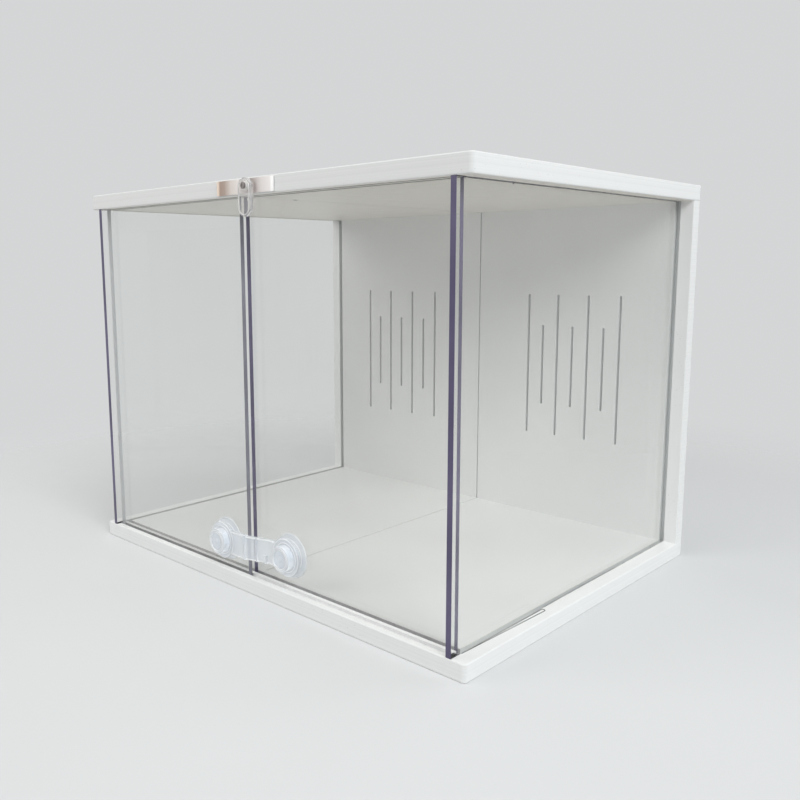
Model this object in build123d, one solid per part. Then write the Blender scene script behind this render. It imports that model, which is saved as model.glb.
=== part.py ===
from build123d import *
import os

os.makedirs("parts", exist_ok=True)

# A reptile enclosure: white boards make the floor, the ceiling and the back, clear panes close both ends,
# and two clear doors slide across the front. A turn button hangs from the ceiling board and a clear
# suction lock bridges the two doors.
# Sizes are in millimetres. X runs from left to right, Y from front to back and Z up. The origin is the
# middle of the base board's underside.

# Whole enclosure
WIDTH = 600.0
DEPTH = 450.0
HEIGHT = 450.0

# White boards
BASE_THICKNESS = 18.0
TOP_THICKNESS = 18.0
BACK_THICKNESS = 18.0
BOARD_CORNER_RADIUS = 4.0
BOARD_EDGE_RADIUS = 1.5

# Clear end panes, let into the boards by a tongue that stops short of the front
PANE_THICKNESS = 6.0
PANE_INSET = 16.0
PANE_FRONT_SETBACK = 0.5
PANE_TONGUE = 6.0
PANE_TONGUE_SETBACK = 12.0
PANE_CLEARANCE = 0.2
PANE_EDGE_CHAMFER = 0.2

# Sliding doors and the tracks that they run in
DOOR_THICKNESS = 5.0
FRONT_TRACK_SETBACK = 7.0
TRACK_WEB = 5.0
DOOR_TRACK_CLEARANCE = 0.3
DOOR_END_CLEARANCE = 2.5
DOOR_MEETING_X = -6.0
DOOR_OVERLAP = 2.5
BASE_TRACK_DEPTH = 5.0
TOP_ENGAGEMENT = 4.5
DOOR_LIFT = 6.0
DOOR_EDGE_CHAMFER = 0.2

# Narrow slot for a dividing sheet, cut in the floor, the back and the ceiling
DIVIDER_SLOT_WIDTH = 2.0
DIVIDER_SLOT_DEPTH = 3.0
DIVIDER_SETBACK = 6.0
PILOT_RADIUS = 2.5
PILOT_DEPTH = 8.0
PILOT_SETBACK = 82.0

# Vents: two groups of upright slots, long and short in turn
VENT_COUNT = 7
VENT_PITCH = 22.0
VENT_WIDTH = 3.6
VENT_LONG = 190.0
VENT_SHORT = 108.0
VENT_GROUP_OFFSET = 148.0

# Fasteners that join the floor and the ceiling to the back panel
SCREW_COUNT = 4
SCREW_END_MARGIN = 45.0
SCREW_SHANK_RADIUS = 2.0
SCREW_HEAD_RADIUS = 4.0
SCREW_HEAD_DEPTH = 2.4
SCREW_GRIP = 32.0
FASTENER_CLEARANCE = 0.1
BASE_SCREW_SINK = 0.4
CAP_RADIUS = 5.0
CAP_THICKNESS = 2.0
CAP_CHAMFER = 0.3
DRIVE_WIDTH = 0.9
DRIVE_LENGTH = 4.0
DRIVE_DEPTH = 1.2
DOWEL_RADIUS = 3.0
DOWEL_IN_BOARD = 11.5
DOWEL_IN_PANEL = 18.5
DOWEL_END_ROOM = 0.5
DOWEL_CHAMFER = 0.6

# Turn button and the plate that it stands on, at the ceiling board's front edge
LATCH_PLATE_LENGTH = 92.0
LATCH_PLATE_HEIGHT = 15.0
LATCH_PLATE_THICKNESS = 1.0
LATCH_PLATE_X = 14.0
LATCH_PLATE_CORNER = 1.0
LATCH_TAPE_THICKNESS = 0.4
LATCH_TAPE_MARGIN = 1.5
BUTTON_LENGTH = 39.0
BUTTON_WIDTH = 20.0
BUTTON_THICKNESS = 4.6
BUTTON_X = 20.0
BUTTON_TOP_MARGIN = 0.8
BUTTON_PIVOT_FROM_TOP = 8.0
BUTTON_EDGE_RADIUS = 0.8
PIVOT_CLEARANCE = 0.1
WASHER_RADIUS = 5.0
WASHER_THICKNESS = 0.8
PIVOT_SHANK_RADIUS = 1.6
PIVOT_HEAD_RADIUS = 3.4
PIVOT_HEAD_THICKNESS = 2.0
PIVOT_HEAD_CHAMFER = 0.7
PIVOT_GRIP = 12.0

# Suction lock: a cup on each door, a knob over each cup and a strap between them
LOCK_Z = 53.0
LOCK_LEFT_X = -39.0
LOCK_RIGHT_X = 58.0
LOCK_DOOR_GAP = 0.3
CUP_RADIUS = 24.5
CUP_RIM = 0.9
CUP_HEIGHT = 6.0
CUP_FLARE_RADIUS = 17.5
CUP_FLARE_HEIGHT = 2.5
CUP_SHOULDER_RADIUS = 9.0
CUP_HOLLOW = 2.6
STEM_RADIUS = 7.0
STEM_CLEARANCE = 0.15
STEM_IN_KNOB = 3.0
HEAD_RADIUS = 21.5
HEAD_SEAT = 0.6
HEAD_ROUNDING = 1.2
STRAP_THICKNESS = 3.4
STRAP_WIDTH = 27.0
STRAP_STRAIGHT = 4.5
HINGE_X = 1.0
HINGE_RADIUS = 2.1
HINGE_CLEARANCE = 0.3
RIB_RADIUS = 1.3
CLIP_WIDTH = 5.0
CLIP_LENGTH = 9.0
CLIP_PROUD = 1.4
CLIP_ROUNDING = 0.5
KNOB_RADIUS = 14.0
KNOB_HEIGHT = 8.0
KNOB_ROUNDING = 1.6
KNOB_DISH_RADIUS = 10.0
KNOB_DISH_DEPTH = 1.2
KNOB_SEAT = 0.2

STANDING = (Align.CENTER, Align.CENTER, Align.MIN)

# Places worked out from the sizes above
front_y = -DEPTH / 2
rear_y = DEPTH / 2
floor_z = BASE_THICKNESS
ceiling_z = HEIGHT - TOP_THICKNESS
back_front_y = rear_y - BACK_THICKNESS
back_middle_y = rear_y - BACK_THICKNESS / 2
pane_outer_x = WIDTH / 2 - PANE_INSET
pane_inner_x = pane_outer_x - PANE_THICKNESS
pane_front_y = front_y + PANE_FRONT_SETBACK
tongue_front_y = pane_front_y + PANE_TONGUE_SETBACK
left_door_y = front_y + FRONT_TRACK_SETBACK
right_door_y = left_door_y + DOOR_THICKNESS + TRACK_WEB
door_end_x = pane_inner_x - DOOR_END_CLEARANCE
door_low_z = floor_z - BASE_TRACK_DEPTH + DOOR_TRACK_CLEARANCE
door_high_z = ceiling_z + TOP_ENGAGEMENT
divider_front_y = right_door_y + DOOR_THICKNESS + DIVIDER_SETBACK
plate_front_y = front_y - LATCH_TAPE_THICKNESS - LATCH_PLATE_THICKNESS
washer_front_y = plate_front_y - WASHER_THICKNESS
button_rear_y = washer_front_y - PIVOT_CLEARANCE
button_front_y = button_rear_y - BUTTON_THICKNESS
button_top_z = HEIGHT - BUTTON_TOP_MARGIN
pivot_z = button_top_z - BUTTON_PIVOT_FROM_TOP


def block(x_range, y_range, z_range):
    """A box between two places on each axis."""
    ranges = (x_range, y_range, z_range)
    middle = [(low + high) / 2 for low, high in ranges]
    return Pos(*middle) * Box(*[high - low for low, high in ranges])


def rod(radius, low, high):
    """A round solid about local Z between two heights."""
    return Pos(0, 0, low) * Cylinder(radius, high - low, align=STANDING)


def cross_drive(depth):
    """The cutter for a screw's cross recess, from local Z = 0 upwards."""
    arm = Box(DRIVE_LENGTH, DRIVE_WIDTH, depth, align=STANDING)
    return arm + Rot(0, 0, 90) * arm


def facing_forward(x, y, z):
    """A place whose local Z points out of the front and whose local Y points up."""
    return Pos(x, y, z) * Rot(90, 0, 0)


def even_places(count, reach):
    """Places spread evenly from minus reach to plus reach."""
    return [reach * (2 * index / (count - 1) - 1) for index in range(count)]


def white_board(low_z, high_z):
    """A board of the whole plan size with rounded corners and eased rims."""
    board = block((-WIDTH / 2, WIDTH / 2), (front_y, rear_y), (low_z, high_z))
    board = fillet(board.edges().filter_by(Axis.Z), BOARD_CORNER_RADIUS)
    rims = board.faces().sort_by(Axis.Z)[0].edges() + board.faces().sort_by(Axis.Z)[-1].edges()
    return fillet(rims, BOARD_EDGE_RADIUS)


def pane_grooves(low_z, high_z):
    """The two grooves of a board that take the end panes' tongues."""
    outer = pane_outer_x + PANE_CLEARANCE
    inner = pane_inner_x - PANE_CLEARANCE
    lengthways = (tongue_front_y - PANE_CLEARANCE, back_front_y + PANE_TONGUE + PANE_CLEARANCE)
    right = block((inner, outer), lengthways, (low_z, high_z))
    return [right, mirror(right, Plane.YZ)]


def door_tracks(low_z, high_z):
    """The front and the rear track of a board, from pane to pane."""
    tracks = []
    for door_y in (left_door_y, right_door_y):
        across = (door_y - DOOR_TRACK_CLEARANCE, door_y + DOOR_THICKNESS + DOOR_TRACK_CLEARANCE)
        tracks.append(block((-pane_inner_x, pane_inner_x), across, (low_z, high_z)))
    return tracks


def divider_slot(low_z, high_z):
    """The slot along the middle of the floor or the ceiling."""
    half = DIVIDER_SLOT_WIDTH / 2
    return block((-half, half), (divider_front_y, back_front_y), (low_z, high_z))


# Screws and dowels between the boards and the back panel
screw_reach = WIDTH / 2 - SCREW_END_MARGIN
screw_places = even_places(SCREW_COUNT, screw_reach)
dowel_places = [(a + b) / 2 for a, b in zip(screw_places, screw_places[1:])]


def wood_screw(length, sink):
    """A countersunk screw whose head lies sink below the surface at local Z = 0."""
    shank = rod(SCREW_SHANK_RADIUS, sink, length)
    head = Pos(0, 0, sink) * Cone(SCREW_HEAD_RADIUS, SCREW_SHANK_RADIUS, SCREW_HEAD_DEPTH, align=STANDING)
    return shank + head - Pos(0, 0, sink) * cross_drive(DRIVE_DEPTH)


def screw_hole(length, sink, mouth_radius):
    """The hole for a countersunk screw, with a round mouth above its head."""
    bore = rod(SCREW_SHANK_RADIUS + FASTENER_CLEARANCE, sink, length + FASTENER_CLEARANCE)
    cone = Cone(
        SCREW_HEAD_RADIUS + FASTENER_CLEARANCE,
        SCREW_SHANK_RADIUS + FASTENER_CLEARANCE,
        SCREW_HEAD_DEPTH,
        align=STANDING,
    )
    return bore + Pos(0, 0, sink) * cone + rod(mouth_radius + FASTENER_CLEARANCE, 0, sink)


def at_panel_screws(shape, surface_z, upward):
    """Copies of a shape at each screw place, built up from the floor or down from the ceiling."""
    turn = Rot(0, 0, 0) if upward else Rot(180, 0, 0)
    return [Pos(x, back_middle_y, surface_z) * turn * shape for x in screw_places]


base_screw_length = BASE_THICKNESS + SCREW_GRIP
top_screw_length = TOP_THICKNESS + SCREW_GRIP
top_screw_sink = CAP_THICKNESS + FASTENER_CLEARANCE
base_screw_hole = screw_hole(base_screw_length, BASE_SCREW_SINK, SCREW_HEAD_RADIUS)
top_screw_hole = screw_hole(top_screw_length, top_screw_sink, CAP_RADIUS)
base_screw_holes = at_panel_screws(base_screw_hole, 0, True)
top_screw_holes = at_panel_screws(top_screw_hole, HEIGHT, False)
base_screws = Compound(at_panel_screws(wood_screw(base_screw_length, BASE_SCREW_SINK), 0, True))
top_screws = Compound(at_panel_screws(wood_screw(top_screw_length, top_screw_sink), HEIGHT, False))

# Flat round caps, eased at the rim, that lie flush over the top screws
cap = rod(CAP_RADIUS, 0, CAP_THICKNESS)
cap = chamfer(cap.faces().sort_by(Axis.Z)[0].edges(), CAP_CHAMFER)
top_screw_caps = Compound(at_panel_screws(cap, HEIGHT, False))


def seam_pegs(seam_z, upward, radius, end_room):
    """Upright pegs across a seam, which go further into the panel than into the board."""
    in_board = DOWEL_IN_BOARD + end_room
    in_panel = DOWEL_IN_PANEL + end_room
    low_z = seam_z - (in_board if upward else in_panel)
    high_z = seam_z + (in_panel if upward else in_board)
    return [Pos(x, back_middle_y) * rod(radius, low_z, high_z) for x in dowel_places]


def dowels(seam_z, upward):
    """The dowels of a seam, chamfered at both ends."""
    pegs = seam_pegs(seam_z, upward, DOWEL_RADIUS, 0)
    return Compound([chamfer(peg.edges().filter_by(GeomType.CIRCLE), DOWEL_CHAMFER) for peg in pegs])


def dowel_holes(seam_z, upward):
    """The holes that the dowels lie in, a little longer and wider than they are."""
    return seam_pegs(seam_z, upward, DOWEL_RADIUS + FASTENER_CLEARANCE, DOWEL_END_ROOM)


base_dowels = dowels(floor_z, True)
top_dowels = dowels(ceiling_z, False)
base_dowel_holes = dowel_holes(floor_z, True)
top_dowel_holes = dowel_holes(ceiling_z, False)

# Base board
base_board = white_board(0, floor_z)
base_board -= pane_grooves(floor_z - PANE_TONGUE - PANE_CLEARANCE, floor_z)
base_board -= door_tracks(floor_z - BASE_TRACK_DEPTH, floor_z)
base_board -= divider_slot(floor_z - DIVIDER_SLOT_DEPTH, floor_z)
base_board -= base_screw_holes + base_dowel_holes

# Ceiling board, with a small pilot hole in each end groove and in the divider slot
top_track_depth = TOP_ENGAGEMENT + DOOR_LIFT
pilot_y = front_y + PILOT_SETBACK
pane_middle_x = pane_outer_x - PANE_THICKNESS / 2
pivot_bore_radius = PIVOT_SHANK_RADIUS + PIVOT_CLEARANCE
pivot_bore = rod(pivot_bore_radius, -PIVOT_GRIP - PIVOT_CLEARANCE, 0)
pilot_hole = rod(PILOT_RADIUS, ceiling_z, ceiling_z + PILOT_DEPTH)
pilot_holes = [Pos(x, pilot_y) * pilot_hole for x in (-pane_middle_x, 0, pane_middle_x)]
top_board = white_board(ceiling_z, HEIGHT)
top_board -= pane_grooves(ceiling_z, ceiling_z + PANE_TONGUE + PANE_CLEARANCE)
top_board -= door_tracks(ceiling_z, ceiling_z + top_track_depth)
top_board -= divider_slot(ceiling_z, ceiling_z + DIVIDER_SLOT_DEPTH)
top_board -= top_screw_holes + top_dowel_holes + pilot_holes
top_board -= facing_forward(BUTTON_X, front_y, pivot_z) * pivot_bore


def vent_slots():
    """Two groups of upright slots through the back panel; every other slot is short."""
    cutters = []
    for group_x in (-VENT_GROUP_OFFSET, VENT_GROUP_OFFSET):
        for index in range(VENT_COUNT):
            x = group_x + (index - (VENT_COUNT - 1) / 2) * VENT_PITCH
            length = VENT_SHORT if index % 2 else VENT_LONG
            outline = SlotOverall(length, VENT_WIDTH, rotation=90)
            place = facing_forward(x, back_middle_y, HEIGHT / 2)
            cutters.append(extrude(place * outline, amount=BACK_THICKNESS, both=True))
    return cutters


# Back panel, between the boards and flush with their ends
back_panel = block((-WIDTH / 2, WIDTH / 2), (back_front_y, rear_y), (floor_z, ceiling_z))
panel_corners = back_panel.edges().filter_by(Axis.Z).sort_by(Axis.Y)
back_panel = fillet(panel_corners[-2:], BOARD_CORNER_RADIUS)
panel_corners = back_panel.edges().filter_by(Axis.Z).sort_by(Axis.Y)
back_panel = fillet(panel_corners[:2], BOARD_EDGE_RADIUS)
panel_groove = block(
    (pane_inner_x - PANE_CLEARANCE, pane_outer_x + PANE_CLEARANCE),
    (back_front_y, back_front_y + PANE_TONGUE + PANE_CLEARANCE),
    (floor_z, ceiling_z),
)
panel_slot = block(
    (-DIVIDER_SLOT_WIDTH / 2, DIVIDER_SLOT_WIDTH / 2),
    (back_front_y, back_front_y + DIVIDER_SLOT_DEPTH),
    (floor_z, ceiling_z),
)
back_panel -= [panel_groove, mirror(panel_groove, Plane.YZ), panel_slot]
back_panel -= vent_slots()
back_panel -= base_screw_holes + top_screw_holes + base_dowel_holes + top_dowel_holes


def side_pane():
    """The right end pane, with a tongue at its foot, its head and its rear edge."""
    thickness = (pane_inner_x, pane_outer_x)
    sheet = block(thickness, (pane_front_y, back_front_y), (floor_z, ceiling_z))
    tongue = block(thickness, (tongue_front_y, back_front_y + PANE_TONGUE),
                   (floor_z - PANE_TONGUE, ceiling_z + PANE_TONGUE))
    sheet = (sheet + tongue).clean()
    faces = sheet.faces().sort_by(Axis.X)
    return chamfer(faces[0].edges() + faces[-1].edges(), PANE_EDGE_CHAMFER)


right_side_pane = side_pane()
left_side_pane = mirror(right_side_pane, Plane.YZ)


def door(x_range, rear_of_front_y):
    """A clear door between two places along X, with its edges eased."""
    sheet = block(x_range, (rear_of_front_y, rear_of_front_y + DOOR_THICKNESS), (door_low_z, door_high_z))
    return chamfer(sheet.edges(), DOOR_EDGE_CHAMFER)


left_door = door((-door_end_x, DOOR_MEETING_X + DOOR_OVERLAP / 2), left_door_y)
right_door = door((DOOR_MEETING_X - DOOR_OVERLAP / 2, door_end_x), right_door_y)

# Latch plate, its tape and the washer
plate_z = HEIGHT - TOP_THICKNESS / 2
pivot_hole = Circle(pivot_bore_radius)
pivot_from_plate = Pos(BUTTON_X - LATCH_PLATE_X, pivot_z - plate_z)
plate_outline = RectangleRounded(LATCH_PLATE_LENGTH, LATCH_PLATE_HEIGHT, LATCH_PLATE_CORNER)
plate_outline -= pivot_from_plate * pivot_hole
tape_length = LATCH_PLATE_LENGTH - 2 * LATCH_TAPE_MARGIN
tape_height = LATCH_PLATE_HEIGHT - 2 * LATCH_TAPE_MARGIN
tape_outline = Rectangle(tape_length, tape_height) - pivot_from_plate * pivot_hole
tape_place = facing_forward(LATCH_PLATE_X, front_y, plate_z)
plate_place = facing_forward(LATCH_PLATE_X, front_y - LATCH_TAPE_THICKNESS, plate_z)
washer_place = facing_forward(BUTTON_X, plate_front_y, pivot_z)
latch_plate_tape = extrude(tape_place * tape_outline, amount=LATCH_TAPE_THICKNESS)
latch_plate = extrude(plate_place * plate_outline, amount=LATCH_PLATE_THICKNESS)
latch_washer = extrude(washer_place * (Circle(WASHER_RADIUS) - pivot_hole), amount=WASHER_THICKNESS)


def turn_button():
    """A capsule-shaped plate that hangs from its pivot, with both faces' rims rounded."""
    outline = SlotOverall(BUTTON_LENGTH, BUTTON_WIDTH, rotation=90)
    drop = BUTTON_PIVOT_FROM_TOP - BUTTON_LENGTH / 2
    body = extrude(Pos(0, drop) * outline, amount=BUTTON_THICKNESS)
    body = fillet(body.faces().filter_by(Axis.Z).edges(), BUTTON_EDGE_RADIUS)
    body -= rod(pivot_bore_radius, 0, BUTTON_THICKNESS)
    return facing_forward(BUTTON_X, button_rear_y, pivot_z) * body


def pivot_screw():
    """A pan-head screw with a cross recess, through the button and into the ceiling board's edge."""
    head = rod(PIVOT_HEAD_RADIUS, 0, PIVOT_HEAD_THICKNESS)
    head = chamfer(head.faces().sort_by(Axis.Z)[-1].edges(), PIVOT_HEAD_CHAMFER)
    reach = front_y - button_front_y + PIVOT_CLEARANCE + PIVOT_GRIP
    shank = rod(PIVOT_SHANK_RADIUS, -reach, 0)
    body = head + shank - Pos(0, 0, PIVOT_HEAD_THICKNESS - DRIVE_DEPTH) * cross_drive(DRIVE_DEPTH)
    return facing_forward(BUTTON_X, button_front_y - PIVOT_CLEARANCE, pivot_z) * body


latch_button = turn_button()
latch_screw = pivot_screw()

# Suction lock. Heights are measured from a door's face towards the front.
head_low = LOCK_DOOR_GAP + CUP_HEIGHT + HEAD_SEAT
head_high = head_low + STRAP_THICKNESS
knob_low = head_high + KNOB_SEAT
knob_high = knob_low + KNOB_HEIGHT
stem_high = knob_low + STEM_IN_KNOB


def suction_cup():
    """A flared cup, hollow towards the door, with the stem that carries the strap and the knob."""
    rim_z = LOCK_DOOR_GAP
    shoulder_z = rim_z + CUP_HEIGHT
    flare = ThreePointArc(
        (CUP_RADIUS, rim_z + CUP_RIM),
        (CUP_FLARE_RADIUS, rim_z + CUP_FLARE_HEIGHT),
        (CUP_SHOULDER_RADIUS, shoulder_z),
    )
    outline = [
        Line((CUP_RADIUS - CUP_RIM, rim_z), (CUP_RADIUS, rim_z + CUP_RIM)),
        flare,
        Line((CUP_SHOULDER_RADIUS, shoulder_z), (STEM_RADIUS, shoulder_z)),
        Line((STEM_RADIUS, shoulder_z), (STEM_RADIUS, stem_high)),
        Line((STEM_RADIUS, stem_high), (0, stem_high)),
        Line((0, stem_high), (0, rim_z + CUP_HOLLOW)),
        Line((0, rim_z + CUP_HOLLOW), (CUP_SHOULDER_RADIUS, rim_z + CUP_HOLLOW)),
        Line((CUP_SHOULDER_RADIUS, rim_z + CUP_HOLLOW), (CUP_RADIUS - CUP_RIM, rim_z)),
    ]
    return revolve(Plane.XZ * make_face(Wire(outline)), Axis.Z)


def knob():
    """A round knob with a dished face and a blind socket for the stem."""
    body = rod(KNOB_RADIUS, knob_low, knob_high)
    body = fillet(body.faces().sort_by(Axis.Z)[-1].edges(), KNOB_ROUNDING)
    dish = rod(KNOB_DISH_RADIUS, knob_high - KNOB_DISH_DEPTH, knob_high)
    socket = rod(STEM_RADIUS + STEM_CLEARANCE, knob_low, stem_high + STEM_CLEARANCE)
    return body - dish - socket


# The round ends of the strap have rounded rims and a hole for the stem
strap_head = rod(HEAD_RADIUS, head_low, head_high)
strap_head = fillet(strap_head.edges().filter_by(GeomType.CIRCLE), HEAD_ROUNDING)
stem_hole = rod(STEM_RADIUS + STEM_CLEARANCE, head_low, head_high)
left_seat = facing_forward(LOCK_LEFT_X, left_door_y, LOCK_Z)
right_seat = facing_forward(LOCK_RIGHT_X, right_door_y, LOCK_Z)
lock_left_cup = left_seat * suction_cup()
lock_right_cup = right_seat * suction_cup()
lock_left_knob = left_seat * knob()
lock_right_knob = right_seat * knob()

# The strap is in two halves that fold at an upright hinge rod between the doors
strap_left_y = left_door_y - (head_low + head_high) / 2
strap_right_y = right_door_y - (head_low + head_high) / 2
half_thickness = STRAP_THICKNESS / 2
strap_low_z = LOCK_Z - STRAP_WIDTH / 2
strap_high_z = LOCK_Z + STRAP_WIDTH / 2
slope_end_x = LOCK_RIGHT_X - HEAD_RADIUS - STRAP_STRAIGHT


def strap_band(points):
    """A flat band of the strap's width along points in plan, its thickness measured along Y."""
    front = [(x, y - half_thickness) for x, y in points]
    rear = [(x, y + half_thickness) for x, y in reversed(points)]
    outline = make_face(Polyline(*front, *rear, close=True))
    return extrude(Pos(0, 0, strap_low_z) * outline, amount=STRAP_WIDTH, dir=(0, 0, 1))


left_band_end_x = HINGE_X - HINGE_RADIUS - HINGE_CLEARANCE
left_band = strap_band([(LOCK_LEFT_X, strap_left_y), (left_band_end_x, strap_left_y)])
lock_strap_left = left_seat * strap_head + left_band - left_seat * stem_hole

right_band = strap_band([
    (HINGE_X, strap_left_y),
    (slope_end_x, strap_right_y),
    (LOCK_RIGHT_X, strap_right_y),
])
hinge_rod = Pos(HINGE_X, strap_left_y) * rod(HINGE_RADIUS, strap_low_z, strap_high_z)
rib_x = (HINGE_X + slope_end_x) / 2
rib_y = (strap_left_y + strap_right_y) / 2 - half_thickness
cross_rib = Pos(rib_x, rib_y) * rod(RIB_RADIUS, strap_low_z, strap_high_z)
clip_x = slope_end_x - CLIP_WIDTH
clip_share = (clip_x - HINGE_X) / (slope_end_x - HINGE_X)
clip_y = strap_left_y + clip_share * (strap_right_y - strap_left_y)
clip = block(
    (clip_x - CLIP_WIDTH / 2, clip_x + CLIP_WIDTH / 2),
    (clip_y - half_thickness - CLIP_PROUD, clip_y),
    (strap_low_z, strap_low_z + CLIP_LENGTH),
)
clip = fillet(clip.faces().sort_by(Axis.Y)[0].edges(), CLIP_ROUNDING)
lock_strap_right = right_seat * strap_head + right_band + hinge_rod + cross_rib + clip
lock_strap_right -= right_seat * stem_hole

nodes = {
    "base_board": base_board,
    "top_board": top_board,
    "back_panel": back_panel,
    "left_side_pane": left_side_pane,
    "right_side_pane": right_side_pane,
    "left_door": left_door,
    "right_door": right_door,
    "base_screws": base_screws,
    "top_screws": top_screws,
    "top_screw_caps": top_screw_caps,
    "base_dowels": base_dowels,
    "top_dowels": top_dowels,
    "latch_plate_tape": latch_plate_tape,
    "latch_plate": latch_plate,
    "latch_washer": latch_washer,
    "latch_button": latch_button,
    "latch_screw": latch_screw,
    "lock_left_cup": lock_left_cup,
    "lock_right_cup": lock_right_cup,
    "lock_left_knob": lock_left_knob,
    "lock_right_knob": lock_right_knob,
    "lock_strap_left": lock_strap_left,
    "lock_strap_right": lock_strap_right,
}

for name, shape in nodes.items():
    export_step(shape, f"parts/{name}.step")
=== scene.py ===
# %% [markdown]
# A clear-fronted reptile enclosure. White foam boards make its floor, ceiling and back, clear sheets
# close the ends, and two clear doors slide across the front. The construction comes from a finished
# model, so this lesson leaves its sizes alone and works on what the eye judges: light, finish and the
# small traces of making that a drawing leaves out.

# %% Load the construction
import math

import bpy
from mathutils import Matrix, Vector


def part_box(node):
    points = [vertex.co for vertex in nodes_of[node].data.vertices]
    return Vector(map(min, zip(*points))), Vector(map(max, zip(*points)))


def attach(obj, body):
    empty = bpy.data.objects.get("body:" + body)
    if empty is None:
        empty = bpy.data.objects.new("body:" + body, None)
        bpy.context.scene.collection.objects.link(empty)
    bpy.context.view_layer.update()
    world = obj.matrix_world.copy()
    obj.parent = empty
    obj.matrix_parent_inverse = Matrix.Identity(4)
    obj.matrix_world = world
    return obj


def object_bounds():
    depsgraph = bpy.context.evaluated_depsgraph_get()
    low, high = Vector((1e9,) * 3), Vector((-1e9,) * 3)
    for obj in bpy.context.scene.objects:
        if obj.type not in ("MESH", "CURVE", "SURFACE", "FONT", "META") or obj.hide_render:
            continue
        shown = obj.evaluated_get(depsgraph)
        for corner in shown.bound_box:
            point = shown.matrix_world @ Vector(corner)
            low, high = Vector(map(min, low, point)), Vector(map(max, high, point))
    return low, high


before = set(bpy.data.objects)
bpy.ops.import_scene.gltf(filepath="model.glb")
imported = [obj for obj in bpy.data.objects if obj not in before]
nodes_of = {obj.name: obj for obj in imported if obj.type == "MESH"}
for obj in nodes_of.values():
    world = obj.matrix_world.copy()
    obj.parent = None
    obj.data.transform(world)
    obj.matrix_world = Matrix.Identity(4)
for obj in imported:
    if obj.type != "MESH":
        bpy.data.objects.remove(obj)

built_low, built_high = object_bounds()
print("construction box", [round(v, 4) for v in (*built_low, *built_high)])


def mm(value):
    """Millimetres in metres."""
    return value / 1000


# %% [markdown]
# The camera stands where the photographer stood: to the right of the enclosure, a little below its
# top, looking down by less than ten degrees. Its lens and place were worked out from the corners of the
# boards and the distances that the construction gives them. The principal point lies off the middle, as
# in a cropped picture, and a small shift of the lens says the same without turning the camera.

# %% Camera
PICTURE_SIDE = 800
FOCAL_PIXELS = 830.7
PRINCIPAL_POINT = (353.3, 389.6)
CAMERA_PLACE = Vector((0.702, -0.774, 0.362))
CAMERA_HEADING, CAMERA_TILT, CAMERA_ROLL = (math.radians(a) for a in (44.25, -8.62, -0.35))

camera_data = bpy.data.cameras.new("camera")
camera_data.sensor_width = 36
camera_data.lens = FOCAL_PIXELS / PICTURE_SIDE * camera_data.sensor_width
camera_data.shift_x = 0.5 - PRINCIPAL_POINT[0] / PICTURE_SIDE
camera_data.shift_y = PRINCIPAL_POINT[1] / PICTURE_SIDE - 0.5
camera = bpy.data.objects.new("camera", camera_data)
turns = ((CAMERA_HEADING, "Z"), (math.pi / 2 + CAMERA_TILT, "X"), (CAMERA_ROLL, "Z"))
camera.matrix_world = Matrix.Translation(CAMERA_PLACE)
for angle, axis in turns:
    camera.matrix_world = camera.matrix_world @ Matrix.Rotation(angle, 4, axis)
bpy.context.scene.collection.objects.link(camera)
bpy.context.scene.camera = camera
bpy.context.scene.view_settings.view_transform = "Standard"
print("lens", round(camera_data.lens, 2), "mm")

# %% [markdown]
# Every finish below is a small network of nodes. A few helpers keep them short: one starts an empty
# material, one adds a node with its settings and links in a single line, and one starts a shared
# effect, which is a group with named sockets that several materials use with different values.

# %% Helpers for materials
def new_material(name):
    """An empty node material, its links and its output."""
    material = bpy.data.materials.new(name)
    material.use_nodes = True
    tree = material.node_tree
    tree.nodes.clear()
    return material, tree, tree.nodes.new("ShaderNodeOutputMaterial")


def add(tree, kind, links=None, **values):
    """Adds a node, sets its inputs by name or number, and links what is a socket."""
    node = tree.nodes.new("ShaderNode" + kind)
    for key, value in values.items():
        setattr(node, key, value)
    for key, value in (links or {}).items():
        if isinstance(value, bpy.types.NodeSocket):
            tree.links.new(value, node.inputs[key])
        else:
            node.inputs[key].default_value = value
    return node


def blend_colours(tree, factor, first, second):
    """The colour between two colours."""
    mix = add(tree, "Mix", {"Factor": factor, 6: first, 7: second}, data_type="RGBA")
    return mix.outputs[2]


def effect(name, inputs, outputs):
    """An empty shared effect: inputs maps a socket's name to its kind and its default value."""
    group = bpy.data.node_groups.new(name, "ShaderNodeTree")
    for label, (kind, default) in inputs.items():
        socket = group.interface.new_socket(label, in_out="INPUT", socket_type="NodeSocket" + kind)
        if default is not None:
            socket.default_value = default
    for label, kind in outputs.items():
        group.interface.new_socket(label, in_out="OUTPUT", socket_type="NodeSocket" + kind)
    return group, group.nodes.new("NodeGroupInput"), group.nodes.new("NodeGroupOutput")


def use(tree, group, links):
    """The first output of a shared effect with these inputs."""
    return add(tree, "Group", links, node_tree=group).outputs[0]


def grey(level):
    """A neutral colour."""
    return (level, level, level, 1)


# %% [markdown]
# White boards and clear sheets show almost nothing of their own, so the studio does the work. The sky
# lights everything softly. What the eye and the reflections meet is a pale backdrop a little darker
# than the boards, because a white board in front of pure white has no outline. The floor fades into
# that backdrop, so no horizon cuts across the clear sheets.

# %% World and floor
STUDIO_TONE = (0.66, 0.67, 0.675, 1)
SKY_STRENGTH = 0.3
FLOOR_TONE = (0.72, 0.73, 0.735, 1)
FLOOR_SIDE = 16.0
FADE_NEAR, FADE_FAR = 0.42, 1.2

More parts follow.
